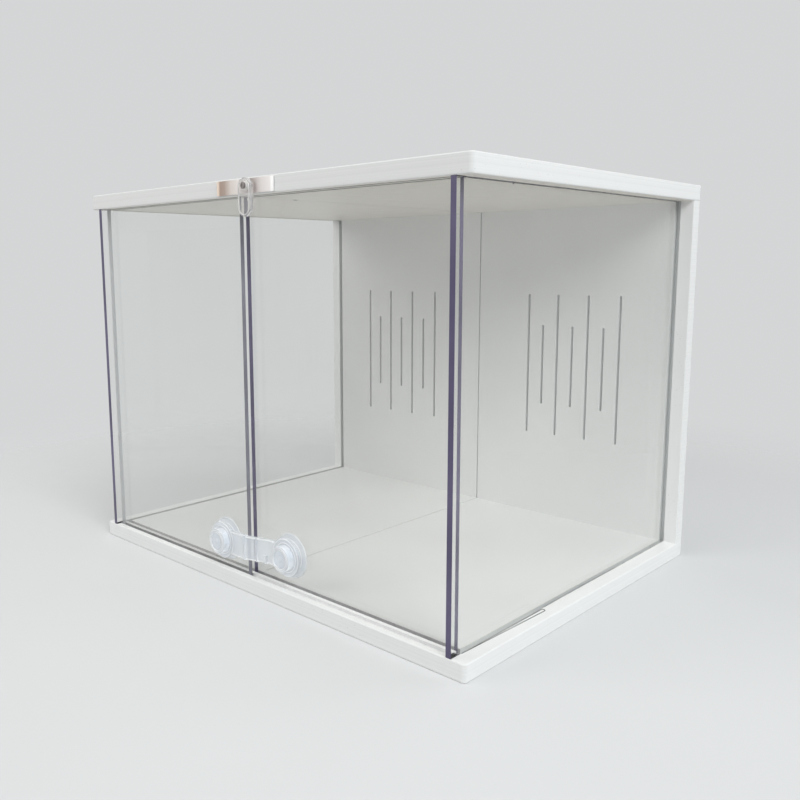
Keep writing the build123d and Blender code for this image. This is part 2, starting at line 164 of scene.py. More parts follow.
world = bpy.data.worlds.new("studio")
bpy.context.scene.world = world
world.use_nodes = True
sky = world.node_tree
sky.nodes.clear()
path = add(sky, "LightPath")
seen = path.outputs["Is Camera Ray"]
for kind in ("Is Glossy Ray", "Is Transmission Ray"):
    seen = add(sky, "Math", {0: seen, 1: path.outputs[kind]}, operation="MAXIMUM").outputs[0]
light = add(sky, "Background", {"Color": grey(1), "Strength": SKY_STRENGTH})
backdrop = add(sky, "Background", {"Color": STUDIO_TONE, "Strength": 1.0})
mixed = add(sky, "MixShader", {0: seen, 1: light.outputs[0], 2: backdrop.outputs[0]})
add(sky, "OutputWorld", {"Surface": mixed.outputs[0]})

bpy.ops.mesh.primitive_plane_add(size=FLOOR_SIDE)
studio_floor = bpy.context.object
studio_floor.name = "studio_floor"
floor_paint, tree, out = new_material("studio_floor_paint")
place = add(tree, "TexCoord")
distance = add(tree, "VectorMath", {0: place.outputs["Object"]}, operation="LENGTH")
reach = {"Value": distance.outputs["Value"], "From Min": FADE_NEAR, "From Max": FADE_FAR}
fade = add(tree, "MapRange", reach, interpolation_type="SMOOTHSTEP")
paint = add(tree, "BsdfPrincipled", {"Base Color": FLOOR_TONE, "Roughness": 0.85})
nothing = add(tree, "BsdfTransparent")
surface = add(tree, "MixShader", {0: fade.outputs[0], 1: paint.outputs[0], 2: nothing.outputs[0]})
tree.links.new(surface.outputs[0], out.inputs["Surface"])
studio_floor.data.materials.append(floor_paint)
print("floor fades between", FADE_NEAR, "and", FADE_FAR, "m")

# %% [markdown]
# In the photograph the right faces are the brightest, the front edges are a step darker, and inside the
# box the light falls off from the floor to the ceiling. One strong high lamp at the right gives the
# first step. Both main lamps stand high, so the ceiling board keeps their light off the upper back
# panel, and what arrives there has already bounced off the floor. A weak lamp behind shines into the
# vents, whose walls would be black otherwise, and another at the left lights the floor that shows
# through the left end. Those two are left out of the mirror images in the sheets.

# %% Lamps
def lamp(name, place, target, size, watts, colour=(1, 1, 1), mirrored=True):
    """A square soft lamp that faces a point; mirrored says whether shiny surfaces show it."""
    data = bpy.data.lights.new(name, "AREA")
    data.size = size
    data.energy = watts
    data.color = colour
    one = bpy.data.objects.new(name, data)
    one.location = place
    one.rotation_euler = (Vector(target) - Vector(place)).to_track_quat("-Z", "Y").to_euler()
    one.visible_glossy = mirrored
    bpy.context.scene.collection.objects.link(one)


MIDDLE = (Vector(built_low) + Vector(built_high)) / 2
COOL = (0.97, 0.99, 1.0)
WARM = (1.0, 0.985, 0.96)
lamp("right_lamp", (1.95, -0.75, 1.75), MIDDLE, 1.2, 36, COOL)
lamp("front_left_lamp", (-1.2, -1.9, 1.5), MIDDLE, 1.4, 22, WARM)
lamp("rear_right_lamp", (1.6, 1.9, 1.0), MIDDLE, 1.2, 14, COOL, mirrored=False)
lamp("left_lamp", (-1.8, 0.3, 1.0), MIDDLE, 1.2, 9, mirrored=False)
lamp("top_lamp", (0.2, -0.2, 2.4), MIDDLE, 1.6, 6)
print("lamps face", [round(v, 3) for v in MIDDLE])

# %% [markdown]
# Seven effects are shared. Clouds of two close tones keep a surface from looking like a flat fill, and
# a fine grain breaks its shine. A mask finds the cut edges of a board or a sheet: there the surface
# faces away from the direction that crosses it. Another mask finds the rims, which are painted a little
# lighter as a painted highlight, on the screws together with wear. A box mask gives its own tones to
# what lies in a box, such as a milled track. Saw lines run along a cut edge, and specks of dust lie
# here and there.

# %% Shared effects
def cloudy_tone():
    """Two colours mixed in soft clouds."""
    inputs = {"Vector": ("Vector", None), "Scale": ("Float", 9.0),
              "Dark": ("Color", grey(0.80)), "Light": ("Color", grey(0.86))}
    group, given, result = effect("cloudy_tone", inputs, {"Color": "Color"})
    vector, scale = given.outputs["Vector"], given.outputs["Scale"]
    cloud = add(group, "TexNoise", {"Vector": vector, "Scale": scale, "Detail": 4.0})
    tone = add(group, "MapRange", {"Value": cloud.outputs["Fac"], "From Min": 0.3, "From Max": 0.7})
    colour = blend_colours(group, tone.outputs[0], given.outputs["Dark"], given.outputs["Light"])
    group.links.new(colour, result.inputs["Color"])
    return group


def fine_grain():
    """A normal that is ruffled by fine noise."""
    inputs = {"Vector": ("Vector", None), "Scale": ("Float", 900.0),
              "Strength": ("Float", 0.12), "Depth": ("Float", 0.0002)}
    group, given, result = effect("fine_grain", inputs, {"Normal": "Vector"})
    vector, scale = given.outputs["Vector"], given.outputs["Scale"]
    noise = add(group, "TexNoise", {"Vector": vector, "Scale": scale, "Detail": 3.0})
    bump = add(group, "Bump", {"Height": noise.outputs["Fac"], "Strength": given.outputs["Strength"],
                               "Distance": given.outputs["Depth"]})
    group.links.new(bump.outputs[0], result.inputs["Normal"])
    return group


def cut_faces():
    """1 where the surface doesn't face along Across, which is the direction through a board or sheet."""
    inputs = {"Normal": ("Vector", None), "Across": ("Vector", (0, 0, 1))}
    group, given, result = effect("cut_faces", inputs, {"Mask": "Float"})
    along = add(group, "VectorMath", {0: given.outputs["Normal"], 1: given.outputs["Across"]},
                operation="DOT_PRODUCT")
    size = add(group, "Math", {0: along.outputs["Value"]}, operation="ABSOLUTE")
    mask = add(group, "Math", {0: size.outputs[0], 1: 0.9}, operation="LESS_THAN")
    group.links.new(mask.outputs[0], result.inputs["Mask"])
    return group


def rim_sheen_and_wear_mask():
    """1 on sharp rims, falling to 0 within Radius of them: where rims are painted lighter as a painted
    highlight.
    """
    group, given, result = effect("rim_sheen_and_wear_mask", {"Radius": ("Float", 0.001)}, {"Mask": "Float"})
    rounded = add(group, "Bevel", {"Radius": given.outputs["Radius"]}, samples=4)
    true_normal = add(group, "NewGeometry")
    same = add(group, "VectorMath", {0: rounded.outputs[0], 1: true_normal.outputs["Normal"]},
               operation="DOT_PRODUCT")
    mask = add(group, "MapRange", {"Value": same.outputs["Value"], "From Min": 0.99, "From Max": 0.85})
    group.links.new(mask.outputs[0], result.inputs["Mask"])
    return group


def inside_box():
    """1 inside a box that is given by its middle and its half size."""
    inputs = {"Position": ("Vector", None), "Middle": ("Vector", None), "Half": ("Vector", (1, 1, 1))}
    group, given, result = effect("inside_box", inputs, {"Mask": "Float"})
    offset = add(group, "VectorMath", {0: given.outputs["Position"], 1: given.outputs["Middle"]},
                 operation="SUBTRACT")
    share = add(group, "VectorMath", {0: offset.outputs[0], 1: given.outputs["Half"]}, operation="DIVIDE")
    size = add(group, "VectorMath", {0: share.outputs[0]}, operation="ABSOLUTE")
    parts = add(group, "SeparateXYZ", {0: size.outputs[0]})
    largest = add(group, "Math", {0: parts.outputs[0], 1: parts.outputs[1]}, operation="MAXIMUM")
    largest = add(group, "Math", {0: largest.outputs[0], 1: parts.outputs[2]}, operation="MAXIMUM")
    mask = add(group, "Math", {0: largest.outputs[0], 1: 1.0}, operation="LESS_THAN")
    group.links.new(mask.outputs[0], result.inputs["Mask"])
    return group


def saw_lines():
    """Uneven lines that follow a board's edge, because they change only with height."""
    inputs = {"Position": ("Vector", None), "Scale": ("Float", 500.0)}
    group, given, result = effect("saw_lines", inputs, {"Value": "Float"})
    parts = add(group, "SeparateXYZ", {0: given.outputs["Position"]})
    lines = add(group, "TexNoise", {"W": parts.outputs[2], "Scale": given.outputs["Scale"], "Detail": 2.0},
                noise_dimensions="1D")
    value = add(group, "MapRange", {"Value": lines.outputs["Fac"], "From Min": 0.35, "From Max": 0.65})
    group.links.new(value.outputs[0], result.inputs["Value"])
    return group


def dust_specks():
    """1 on small round specks, which come in patches."""
    inputs = {"Vector": ("Vector", None), "Scale": ("Float", 160.0), "Size": ("Float", 0.09)}
    group, given, result = effect("dust_specks", inputs, {"Mask": "Float"})
    cells = add(group, "TexVoronoi", {"Vector": given.outputs["Vector"], "Scale": given.outputs["Scale"]})
    speck = add(group, "Math", {0: cells.outputs["Distance"], 1: given.outputs["Size"]},
                operation="LESS_THAN")
    patch = add(group, "TexNoise", {"Vector": given.outputs["Vector"], "Scale": 12.0})
    here = add(group, "MapRange", {"Value": patch.outputs["Fac"], "From Min": 0.5, "From Max": 0.62})
    mask = add(group, "Math", {0: speck.outputs[0], 1: here.outputs[0]}, operation="MULTIPLY")
    group.links.new(mask.outputs[0], result.inputs["Mask"])
    return group


CLOUDY_TONE = cloudy_tone()
FINE_GRAIN = fine_grain()
CUT_FACES = cut_faces()
RIM_SHEEN_AND_WEAR = rim_sheen_and_wear_mask()
INSIDE_BOX = inside_box()
SAW_LINES = saw_lines()
DUST_SPECKS = dust_specks()
print("shared effects", sorted(group.name for group in bpy.data.node_groups))


def scaled(tree, value, factor):
    """A mask made weaker or stronger."""
    return add(tree, "Math", {0: value, 1: factor}, operation="MULTIPLY").outputs[0]


def dress(names, material):
    """Gives a material to all the faces of some nodes."""
    for name in names:
        for slot in nodes_of[name].material_slots:
            slot.material = material


# %% [markdown]
# The boards are rigid foam with a dense satin skin on both faces. The saw opens the core, so a cut edge
# is a shade darker and duller than the skin and has faint lines along it. The tracks are milled into
# the core as well and are painted in darker greys, which makes them the only dark lines on the floor
# and shows where the doors run. Their boxes are worked out from the doors, which stand in them. Beyond
# the left door its track lies open and stays pale. The ceiling board's underside is painted darker and
# warmer as painted shade, a pilot hole in it is painted black as painted shade, and all rims are
# painted a little lighter as a painted highlight.

# %% White boards
SKIN_SHADE, SKIN_WHITE = (0.835, 0.84, 0.835, 1), (0.875, 0.88, 0.875, 1)
# painted shade: the ceiling board's underside is painted darker and warmer
UNDERSIDE_PAINTED_SHADE_DARK, UNDERSIDE_PAINTED_SHADE_LIGHT = (0.79, 0.745, 0.68, 1), (0.85, 0.81, 0.75, 1)
OPEN_TRACK = grey(0.84), grey(0.90)
# painted shade: the pilot hole is painted black
HOLE_PAINTED_SHADE = grey(0.04), grey(0.10)
PILOT_HOLE = (0, mm(-143), mm(4))
PILOT_HALF = (mm(3), mm(3), mm(4.5))
CORE_SHADE, CORE_WHITE = (0.82, 0.83, 0.825, 1), (0.86, 0.87, 0.865, 1)
RIM_HIGHLIGHT_WHITE = (0.90, 0.905, 0.90, 1)
# the tracks are painted darker: deep grey where the left door runs in the base, mid grey in the others
DEEP_GREY_TRACK = (0.30, 0.295, 0.30, 1), (0.50, 0.495, 0.50, 1)
MID_GREY_TRACK = (0.52, 0.515, 0.51, 1), (0.68, 0.675, 0.67, 1)
SPECK_BROWN = (0.42, 0.40, 0.37, 1)
TRACK_ROOM = mm(0.4)

left_door_low, left_door_high = (Vector(corner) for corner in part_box("left_door"))
right_door_low, right_door_high = (Vector(corner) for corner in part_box("right_door"))
top_low, top_high = (Vector(corner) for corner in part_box("top_board"))
pane_low, pane_high = (Vector(corner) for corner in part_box("right_side_pane"))
floor_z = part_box("base_board")[1][2]
ceiling_z = top_low.z


def middle_and_half(low, high):
    """The middle and the half size of a box."""
    return (Vector(low) + Vector(high)) / 2, (Vector(high) - Vector(low)) / 2


def track_box(door_low, door_high, low_z, high_z):
    """The box of the track that a door runs in, from pane to pane."""
    low = (-pane_low.x, door_low.y - TRACK_ROOM, low_z)
    high = (pane_low.x, door_high.y + TRACK_ROOM, high_z)
    return middle_and_half(low, high)


def board_skin(name, across, regions=()):
    """White foam board; across crosses its thickness. Each region is a box with two tones of its own."""
    material, tree, out = new_material(name)
    place = add(tree, "TexCoord")
    where = place.outputs["Object"]
    cut = use(tree, CUT_FACES, {"Normal": place.outputs["Normal"], "Across": across})
    skin = use(tree, CLOUDY_TONE, {"Vector": where, "Scale": 7.0, "Dark": SKIN_SHADE, "Light": SKIN_WHITE})
    lines = use(tree, SAW_LINES, {"Position": where, "Scale": 520.0})
    core = blend_colours(tree, lines, CORE_SHADE, CORE_WHITE)
    colour = blend_colours(tree, cut, skin, core)
    # painted highlight: the rims are painted lighter
    rim_sheen_and_wear = scaled(tree, use(tree, RIM_SHEEN_AND_WEAR, {"Radius": mm(1.2)}), 0.6)
    colour = blend_colours(tree, rim_sheen_and_wear, colour, RIM_HIGHLIGHT_WHITE)
    specks = scaled(tree, use(tree, DUST_SPECKS, {"Vector": where, "Scale": 210.0, "Size": 0.10}), 0.45)
    colour = blend_colours(tree, specks, colour, SPECK_BROWN)
    for (middle, half), (dark, light) in regions:
        inside = use(tree, INSIDE_BOX, {"Position": where, "Middle": middle, "Half": half})
        tone = use(tree, CLOUDY_TONE, {"Vector": where, "Scale": 60.0, "Dark": dark, "Light": light})
        colour = blend_colours(tree, inside, colour, tone)
    shine = add(tree, "MapRange", {"Value": cut, "To Min": 0.36, "To Max": 0.6}).outputs[0]
    grain = use(tree, FINE_GRAIN, {"Vector": where, "Scale": 850.0, "Strength": 0.12, "Depth": mm(0.2)})
    paint = add(tree, "BsdfPrincipled", {"Base Color": colour, "Roughness": shine, "Normal": grain})
    tree.links.new(paint.outputs[0], out.inputs["Surface"])
    return material


SKIN_LIP = mm(0.15)
TOP_TRACK_DEPTH = mm(10.6)
MASK_BELOW, MASK_ABOVE = mm(1), mm(0.1)
base_heights = (left_door_low.z - TRACK_ROOM, floor_z - SKIN_LIP)
top_heights = (ceiling_z + SKIN_LIP, ceiling_z + TOP_TRACK_DEPTH)
underside_high = (top_high.x, top_high.y, ceiling_z + MASK_ABOVE)
underside = middle_and_half(top_low - Vector((0, 0, MASK_BELOW)), underside_high)
pilot_hole = (Vector(PILOT_HOLE) + Vector((0, 0, ceiling_z)), Vector(PILOT_HALF))
open_low = (left_door_high.x + TRACK_ROOM, left_door_low.y - TRACK_ROOM, base_heights[0])
open_high = (pane_low.x, left_door_high.y + TRACK_ROOM, base_heights[1])
base_regions = (
    (track_box(left_door_low, left_door_high, *base_heights), DEEP_GREY_TRACK),
    (middle_and_half(open_low, open_high), OPEN_TRACK),
    (track_box(right_door_low, right_door_high, *base_heights), MID_GREY_TRACK),
)
top_regions = (
    (underside, (UNDERSIDE_PAINTED_SHADE_DARK, UNDERSIDE_PAINTED_SHADE_LIGHT)),
    (track_box(left_door_low, left_door_high, *top_heights), MID_GREY_TRACK),
    (track_box(right_door_low, right_door_high, *top_heights), MID_GREY_TRACK),
    (pilot_hole, HOLE_PAINTED_SHADE),
)
dress(["base_board"], board_skin("base_board_skin", (0, 0, 1), base_regions))
dress(["top_board"], board_skin("top_board_skin", (0, 0, 1), top_regions))
dress(["back_panel"], board_skin("back_panel_skin", (0, 1, 0)))
print("tracks from y", round(left_door_low.y, 4), "to", round(right_door_high.y, 4))

# %% [markdown]
# The panes and doors are thin polished sheets. Both faces are parallel, so a sheet shifts what is
# behind it by less than the eye can see, and a transparent shader with a mirror on top stands for it.
# The mirror grows towards grazing angles by the usual fifth-power rule. Handling leaves a faint haze
# and a few specks. The sawn and flamed edges gather light from the whole sheet and look dark purple,
# which is what draws the strong upright lines; the left door's edge is a neutral grey. Edges that stand
# in the back panel's grooves, the left door's far end and the front part of the end panes' feet are
# painted pale, a painted reflection of the white beside them.

# %% Clear sheets
FACE_MIRROR = 0.042
SHEET_TINT = (0.985, 0.988, 0.985, 1)
SHADOW_TINT = (0.965, 0.968, 0.965, 1)
MIRROR_COLOUR = (0.95, 0.965, 0.96, 1)
HAZE_COLOUR = (0.90, 0.91, 0.91, 1)
HAZE_AMOUNT = 0.012
SPECK_AMOUNT = 0.22
PURPLE_DARK, PURPLE_LIGHT = (0.055, 0.042, 0.105, 1), (0.12, 0.10, 0.20, 1)
GREY_DARK, GREY_LIGHT = (0.13, 0.13, 0.16, 1), (0.26, 0.26, 0.30, 1)
EDGE_PAINTED_REFLECTION = (0.66, 0.67, 0.68, 1)
EDGE_ROOM = mm(1)
REAR_REACH = mm(22)
CLEAR_FOOT_END_Y = mm(-78)


def sheet_skin(name, across, edge_tones, painted_reflection_boxes=()):
    """Clear sheet with tinted cut edges, painted pale in the given boxes as a painted reflection; across
    crosses its thickness.
    """
    material, tree, out = new_material(name)
    place = add(tree, "TexCoord")
    where = place.outputs["Object"]
    ripple = use(tree, FINE_GRAIN, {"Vector": where, "Scale": 5.0, "Strength": 0.3, "Depth": mm(0.6)})
    angle = add(tree, "LayerWeight", {"Blend": 0.5}).outputs["Facing"]
    grazing = add(tree, "Math", {0: angle, 1: 5.0}, operation="POWER").outputs[0]
    mirror = add(tree, "MapRange", {"Value": grazing, "To Min": FACE_MIRROR, "To Max": 1.0}).outputs[0]
    path = add(tree, "LightPath")
    tint = blend_colours(tree, path.outputs["Is Shadow Ray"], SHEET_TINT, SHADOW_TINT)
    through = add(tree, "BsdfTransparent", {"Color": tint})
    shine = add(tree, "BsdfPrincipled", {"Base Color": MIRROR_COLOUR, "Metallic": 1.0, "Roughness": 0.03,
                                         "Normal": ripple})
    clear = add(tree, "MixShader", {0: mirror, 1: through.outputs[0], 2: shine.outputs[0]})
    specks = use(tree, DUST_SPECKS, {"Vector": where, "Scale": 230.0, "Size": 0.08})
    specks = scaled(tree, specks, SPECK_AMOUNT)
    cloud = add(tree, "TexNoise", {"Vector": where, "Scale": 6.0, "Detail": 3.0}).outputs["Fac"]
    haze = add(tree, "Math", {0: scaled(tree, cloud, 2 * HAZE_AMOUNT), 1: specks}, operation="ADD").outputs[0]
    film = add(tree, "BsdfPrincipled", {"Base Color": HAZE_COLOUR, "Roughness": 0.7})
    face = add(tree, "MixShader", {0: haze, 1: clear.outputs[0], 2: film.outputs[0]})
    cut = use(tree, CUT_FACES, {"Normal": place.outputs["Normal"], "Across": across})
    tones = {"Vector": where, "Scale": 14.0, "Dark": edge_tones[0], "Light": edge_tones[1]}
    edge_colour = use(tree, CLOUDY_TONE, tones)
    # painted reflection: the edges in these boxes are painted pale
    for middle, half in painted_reflection_boxes:
        pale = use(tree, INSIDE_BOX, {"Position": where, "Middle": middle, "Half": half})
        edge_colour = blend_colours(tree, pale, edge_colour, EDGE_PAINTED_REFLECTION)
    edge = add(tree, "BsdfPrincipled", {"Base Color": edge_colour, "Roughness": 0.28, "Coat Weight": 0.3})
    surface = add(tree, "MixShader", {0: cut, 1: face.outputs[0], 2: edge.outputs[0]})
    tree.links.new(surface.outputs[0], out.inputs["Surface"])
    return material


purple = (PURPLE_DARK, PURPLE_LIGHT)
rear_box = middle_and_half((-pane_high.x - EDGE_ROOM, built_high.y - REAR_REACH, 0), built_high)
foot_box = middle_and_half((-pane_high.x - EDGE_ROOM, built_low.y, 0),
                           (pane_high.x + EDGE_ROOM, CLEAR_FOOT_END_Y, floor_z - EDGE_ROOM))
far_end = (left_door_low.x + EDGE_ROOM, left_door_high.y + EDGE_ROOM, left_door_high.z + EDGE_ROOM)
far_box = middle_and_half(left_door_low - Vector((EDGE_ROOM,) * 3), far_end)
end_panes = ["left_side_pane", "right_side_pane"]
dress(end_panes, sheet_skin("end_pane_sheet", (1, 0, 0), purple, (rear_box, foot_box)))
dress(["left_door"], sheet_skin("left_door_sheet", (0, 1, 0), (GREY_DARK, GREY_LIGHT), (far_box,)))
dress(["right_door"], sheet_skin("right_door_sheet", (0, 1, 0), purple))
print("sheets reflect", FACE_MIRROR, "of the light that meets them squarely")

# %% [markdown]
# The lock is moulded in soft clear plastic that has gone a little milky. Light spreads in it, so it is
# as pale as the floor behind it, and only its rims and rings flash. A glass shader with a part of its
# light scattered as white gives that body, and a paler layer towards grazing angles is a painted
# highlight on the rims. Rings, ribs and the button's step get a whiter copy with a stronger painted
# highlight. The turn button is cut from hard clear sheet and stays much clearer.

# %% Clear mouldings
ICY_TONES = (0.85, 0.89, 0.94, 1), (0.93, 0.955, 0.985, 1)
NEUTRAL_TONES = (0.93, 0.92, 0.91, 1), (0.97, 0.965, 0.96, 1)
RIM_PAINTED_HIGHLIGHT = (0.97, 0.985, 1.0, 1)


def moulded_clear(name, tones, clearness, roughness, rim_highlight_strength):
    """Clear plastic with some body of its own; a painted highlight makes its rims paler, as strong as given.
    """
    material, tree, out = new_material(name)
    place = add(tree, "TexCoord")
    where = place.outputs["Object"]
    ripple = use(tree, FINE_GRAIN, {"Vector": where, "Scale": 260.0, "Strength": 0.15, "Depth": mm(0.3)})
    clouds = {"Vector": where, "Scale": 90.0, "Dark": tones[0], "Light": tones[1]}
    body_colour = use(tree, CLOUDY_TONE, clouds)
    body = add(tree, "BsdfPrincipled", {"Base Color": body_colour, "Roughness": roughness, "IOR": 1.46,
                                        "Transmission Weight": clearness, "Normal": ripple})
    open_side = add(tree, "BsdfTransparent", {"Color": grey(0.88)})
    in_shadow = add(tree, "LightPath").outputs["Is Shadow Ray"]
    clear = add(tree, "MixShader", {0: in_shadow, 1: body.outputs[0], 2: open_side.outputs[0]})
    angle = add(tree, "LayerWeight", {"Blend": 0.35}).outputs["Facing"]
    # painted highlight: the rims turn paler towards grazing angles
    rim_highlight_share = scaled(tree, angle, rim_highlight_strength)
    rim = add(tree, "BsdfPrincipled", {"Base Color": RIM_PAINTED_HIGHLIGHT, "Roughness": 0.2})
    surface = add(tree, "MixShader", {0: rim_highlight_share, 1: clear.outputs[0], 2: rim.outputs[0]})
    tree.links.new(surface.outputs[0], out.inputs["Surface"])
    return material


lock_plastic = moulded_clear("milky_lock_plastic", ICY_TONES, 0.7, 0.12, 0.35)
# painted highlight: a whiter copy with strong pale rims, for rings, ribs and the button's step
painted_highlight_plastic = moulded_clear("painted_highlight_rim_plastic", NEUTRAL_TONES, 0.5, 0.08, 0.9)
button_plastic = moulded_clear("clear_button_plastic", NEUTRAL_TONES, 0.96, 0.02, 0.3)
lock_nodes = [f"lock_{side}_{part}" for side in ("left", "right") for part in ("cup", "knob")]
dress(lock_nodes + ["lock_strap_left", "lock_strap_right"], lock_plastic)
dress(["latch_button"], button_plastic)
print("lock pieces", len(lock_nodes) + 2)

# %% [markdown]
# The plate behind the button is thin satin metal. It mirrors its surroundings softly, and that
# reflection is painted into its colour as stops along its length: brown near its left end, pale in the
# middle and pinkish grey at the right, with a light border at each end as a painted highlight. Its rims
# are painted lighter too. Fine brushing runs along its length.

# %% Latch plate
# painted reflection: the plate's colour along its length, with a painted highlight at each end
PLATE_REFLECTION_STOPS = (
    (0.00, (0.84, 0.72, 0.62, 1)),
    (0.03, (0.80, 0.66, 0.55, 1)),
    (0.06, (0.40, 0.30, 0.25, 1)),
    (0.14, (0.42, 0.33, 0.28, 1)),
    (0.26, (0.68, 0.62, 0.58, 1)),
    (0.40, (0.78, 0.74, 0.71, 1)),
    (0.58, (0.36, 0.31, 0.30, 1)),
    (0.68, (0.46, 0.41, 0.39, 1)),
    (0.80, (0.70, 0.66, 0.64, 1)),
    (0.94, (0.80, 0.77, 0.76, 1)),
    (0.97, (0.95, 0.95, 0.94, 1)),
)
PLATE_RIM_HIGHLIGHT = (0.92, 0.91, 0.90, 1)
BRUSHING_STRETCH = (30.0, 900.0, 900.0)


def plate_metal():
    """Satin metal with a painted reflection: its colour changes along the plate."""
    material, tree, out = new_material("latch_plate_satin")
    low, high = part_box("latch_plate")
    place = add(tree, "TexCoord")
    parts = add(tree, "SeparateXYZ", {0: place.outputs["Object"]})
    along = add(tree, "MapRange", {"Value": parts.outputs[0], "From Min": low[0], "From Max": high[0]})
    tones = add(tree, "ValToRGB", {"Fac": along.outputs[0]})
    stops = tones.color_ramp.elements
    stops.remove(stops[1])
    stops[0].position, stops[0].color = PLATE_REFLECTION_STOPS[0]
    for position, colour in PLATE_REFLECTION_STOPS[1:]:
        stops.new(position).color = colour
    stretched = add(tree, "VectorMath", {0: place.outputs["Object"], 1: BRUSHING_STRETCH},
                    operation="MULTIPLY")
    brushing = use(tree, FINE_GRAIN, {"Vector": stretched.outputs[0], "Scale": 1.0, "Strength": 0.2,
                                      "Depth": mm(0.05)})
    rim_sheen_and_wear = scaled(tree, use(tree, RIM_SHEEN_AND_WEAR, {"Radius": mm(0.4)}), 0.5)
    colour = blend_colours(tree, rim_sheen_and_wear, tones.outputs["Color"], PLATE_RIM_HIGHLIGHT)
    metal = add(tree, "BsdfPrincipled", {"Base Color": colour, "Metallic": 0.55, "Roughness": 0.38,
                                         "Normal": brushing})
    tree.links.new(metal.outputs[0], out.inputs["Surface"])
    return material


dress(["latch_plate"], plate_metal())
print("plate tones", len(PLATE_REFLECTION_STOPS))

# %% [markdown]
# Small parts have plain finishes of their own: zinc on the screws, with a cloudy passivated tone and
# brighter rims, which are painted highlight and driver wear together, natural nylon for the washer,
# clear tape behind the plate, white satin caps and beech dowels with fibres along them. All of them get
# rims painted lighter as a painted highlight.

# %% Small parts
def solid_finish(name, dark, light, scale, roughness, metallic=0.0, rim_highlight_colour=None, stretch=(1, 1, 1)):
    """An opaque finish of two tones whose rims are painted lighter as a painted highlight; stretch draws its
    clouds out along an axis.
    """
    material, tree, out = new_material(name)
    place = add(tree, "TexCoord")
    where = add(tree, "VectorMath", {0: place.outputs["Object"], 1: stretch}, operation="MULTIPLY").outputs[0]
    colour = use(tree, CLOUDY_TONE, {"Vector": where, "Scale": scale, "Dark": dark, "Light": light})
    rim_sheen_and_wear = scaled(tree, use(tree, RIM_SHEEN_AND_WEAR, {"Radius": mm(0.35)}), 0.7)
    # painted highlight on the rims, on the screws together with wear
    colour = blend_colours(tree, rim_sheen_and_wear, colour, rim_highlight_colour or light)
    grain = use(tree, FINE_GRAIN, {"Vector": where, "Scale": 2 * scale, "Strength": 0.1, "Depth": mm(0.1)})
    paint = add(tree, "BsdfPrincipled", {"Base Color": colour, "Roughness": roughness, "Metallic": metallic,
                                         "Normal": grain})
    tree.links.new(paint.outputs[0], out.inputs["Surface"])
    return material


zinc = solid_finish("zinc_plate", (0.50, 0.50, 0.52, 1), (0.70, 0.70, 0.71, 1), 600.0, 0.34, 1.0, grey(0.85))
nylon = solid_finish("natural_nylon", (0.80, 0.79, 0.76, 1), (0.87, 0.86, 0.84, 1), 300.0, 0.45)
tape = solid_finish("clear_tape_edge", (0.74, 0.74, 0.72, 1), (0.86, 0.86, 0.84, 1), 200.0, 0.3)
cap_white = solid_finish("white_cap", (0.83, 0.84, 0.83, 1), (0.88, 0.89, 0.88, 1), 250.0, 0.4,
                         rim_highlight_colour=grey(0.92))
beech = solid_finish("beech", (0.58, 0.44, 0.28, 1), (0.76, 0.62, 0.44, 1), 500.0, 0.6, stretch=(1, 1, 0.06))
dark_zinc = solid_finish("dark_zinc", (0.16, 0.14, 0.13, 1), (0.34, 0.31, 0.30, 1), 500.0, 0.4, 1.0,
                         rim_highlight_colour=grey(0.75))
dress(["base_screws", "top_screws"], zinc)
dress(["latch_screw"], dark_zinc)
dress(["latch_washer"], nylon)
dress(["latch_plate_tape"], tape)
dress(["top_screw_caps"], cap_white)
dress(["base_dowels", "top_dowels"], beech)
print("finishes in all", len(bpy.data.materials))

# %% [markdown]
# Detail pieces come next. Nearly all of them are beads: thin rounded lines that lie on a surface, such
# as a raised ring of a moulding, a stiffening rib or a line of cement. A curve with a round section
# makes one from a list of places, and a formula gives those places, so one function serves for all.

# %% Beads and turned pieces
CIRCLE_STEPS = 56


def place_piece(piece, material, body):
    """Links a detail piece, gives it its finish and lets it ride on its body."""
    piece.data.materials.append(material)
    bpy.context.scene.collection.objects.link(piece)
    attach(piece, body)


def bead(name, points, radius, material, body, closed=False):
    """A thin rounded bead along points."""
    line = bpy.data.curves.new(name, "CURVE")
    line.dimensions = "3D"
    line.bevel_depth = radius
    line.bevel_resolution = 3
    line.use_fill_caps = True
    spline = line.splines.new("POLY")
    spline.points.add(len(points) - 1)
    for point, place in zip(spline.points, points):
        point.co = (*place, 1)
    spline.use_cyclic_u = closed
    piece = bpy.data.objects.new(name, line)
    place_piece(piece, material, body)


def ring_points(centre, radius):
    """Places around an upright circle that faces the front."""
    angles = [math.tau * step / CIRCLE_STEPS for step in range(CIRCLE_STEPS)]
    return [centre + Vector((radius * math.cos(a), 0, radius * math.sin(a))) for a in angles]


def turned(name, centre, profile, material, body):
    """A turned piece: profile has (radius, distance towards the front) from its rim to its middle."""
    rows = [ring_points(centre - Vector((0, reach, 0)), radius) for radius, reach in profile]
    vertices = [point for row in rows for point in row]
    tip = len(vertices)
    vertices.append(centre - Vector((0, profile[-1][1], 0)))
    faces = []
    for row in range(len(rows) - 1):
        for step in range(CIRCLE_STEPS):
            here, after = row * CIRCLE_STEPS + step, row * CIRCLE_STEPS + (step + 1) % CIRCLE_STEPS
            faces.append((here, after, after + CIRCLE_STEPS, here + CIRCLE_STEPS))
    last = (len(rows) - 1) * CIRCLE_STEPS
    faces += [(last + step, last + (step + 1) % CIRCLE_STEPS, tip) for step in range(CIRCLE_STEPS)]
    mesh = bpy.data.meshes.new(name)
    mesh.from_pydata([tuple(v) for v in vertices], [], faces)
    for polygon in mesh.polygons:
        polygon.use_smooth = True
    place_piece(bpy.data.objects.new(name, mesh), material, body)


